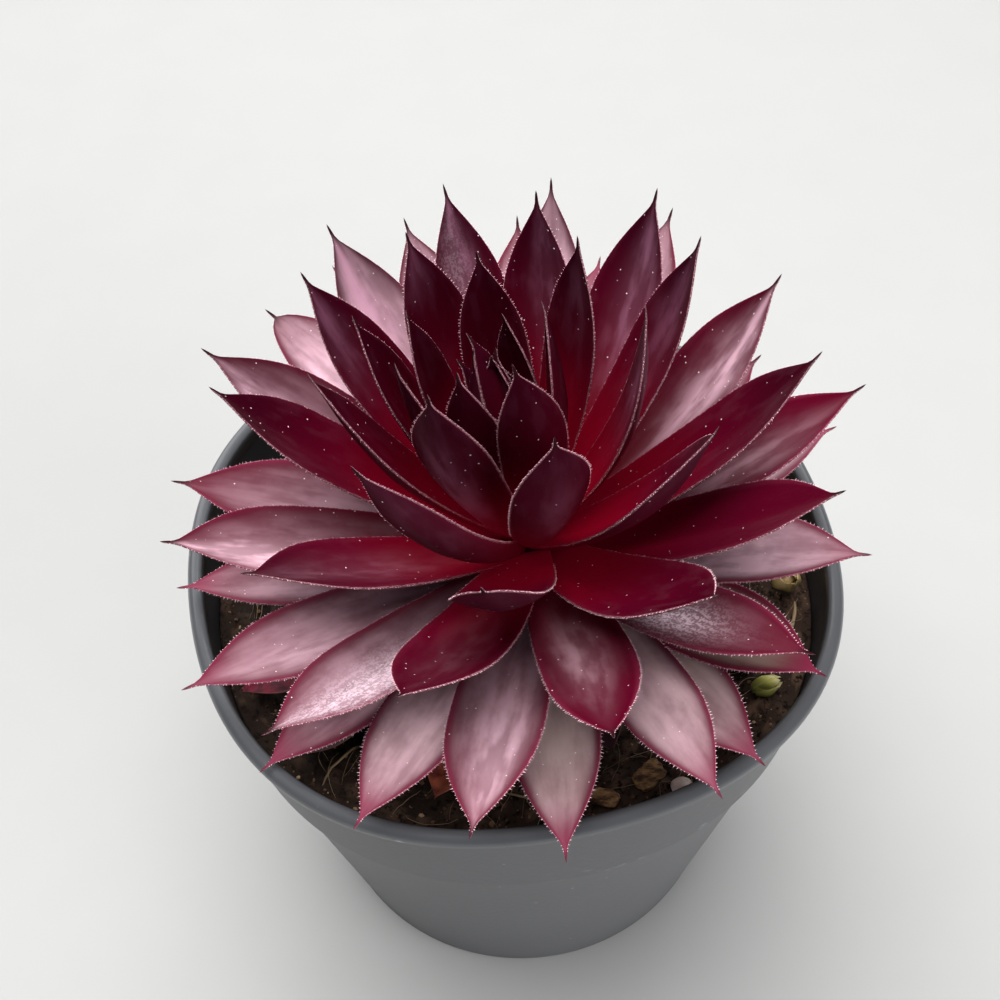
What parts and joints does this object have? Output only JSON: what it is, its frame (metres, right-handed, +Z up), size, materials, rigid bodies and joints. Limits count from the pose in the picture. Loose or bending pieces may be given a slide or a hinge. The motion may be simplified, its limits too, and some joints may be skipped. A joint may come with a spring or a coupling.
{
  "type": "potted houseleek",
  "caption": "Wine-red houseleek rosette of pointed, channelled leaves in a grey plastic nursery pot filled with dark peat.",
  "frame": {"origin": "centre of the pot's foot, on the flat face that the pot stands on", "axes": "+Z up along the pot's axis; the pictured side faces -Y, and the rosette leans a little towards -X"},
  "size_m": [0.1189, 0.1291, 0.1563],
  "materials": {
    "grey_plastic": "satin mid grey moulded plastic",
    "peat": "dark crumbly peat, matt",
    "leaf": "fleshy wine-red leaves with a waxy sheen",
    "bark": "rough brown bark",
    "stone": "pale beige stone, opaque",
    "bud": "fleshy yellow-green buds",
    "withered": "dry shrunken leaves"
  },
  "bodies": {
    "root": {"pot": "grey_plastic", "soil": "peat", "rosette": "leaf", "bark_chip_1": "bark", "bark_chip_2": "bark", "bark_chip_3": "bark", "pebble": "stone", "offset_bud_1": "bud", "offset_bud_2": "bud", "offset_bud_3": "bud", "offset_bud_4": "bud", "withered_leaf_1": "withered", "withered_leaf_2": "withered", "withered_leaf_3": "withered", "withered_leaf_4": "withered", "withered_leaf_5": "withered"}
  },
  "joints": []
}
